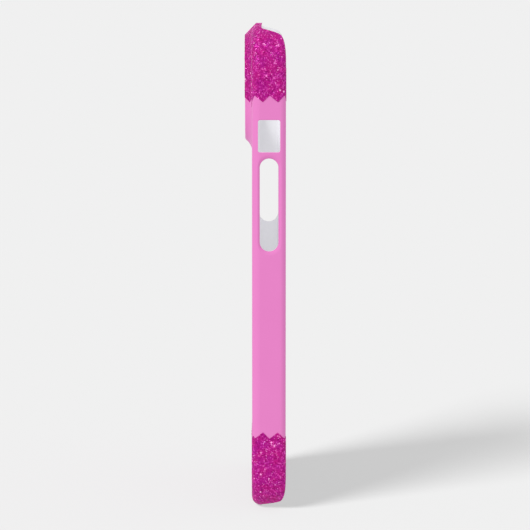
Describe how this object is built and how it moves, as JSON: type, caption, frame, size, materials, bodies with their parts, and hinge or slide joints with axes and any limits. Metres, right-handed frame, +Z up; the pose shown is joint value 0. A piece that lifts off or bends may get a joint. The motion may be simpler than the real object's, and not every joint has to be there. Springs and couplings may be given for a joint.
{
  "type": "phone case",
  "caption": "Slim clip-on phone case with a raised camera surround, open ends, side key openings and a printed skin with a toothed glitter band at each end.",
  "frame": {"origin": "centre of the case's outline, at its lowest point, as it stands on its bottom edge", "axes": "+Z up the length, +X across the width towards the volume keys, +Y out of the open front; the camera window is towards -X, and the outside of the back faces -Y"},
  "size_m": [0.0746, 0.013, 0.1498],
  "materials": {
    "white_polycarbonate": "satin moulded white",
    "pink_print": "satin pink print over polycarbonate",
    "magenta_glitter": "clear-coated magenta glitter"
  },
  "bodies": {
    "root": {"shell": "white_polycarbonate", "pink_print": "pink_print", "top_glitter_band": "magenta_glitter", "bottom_glitter_band": "magenta_glitter"}
  },
  "joints": []
}
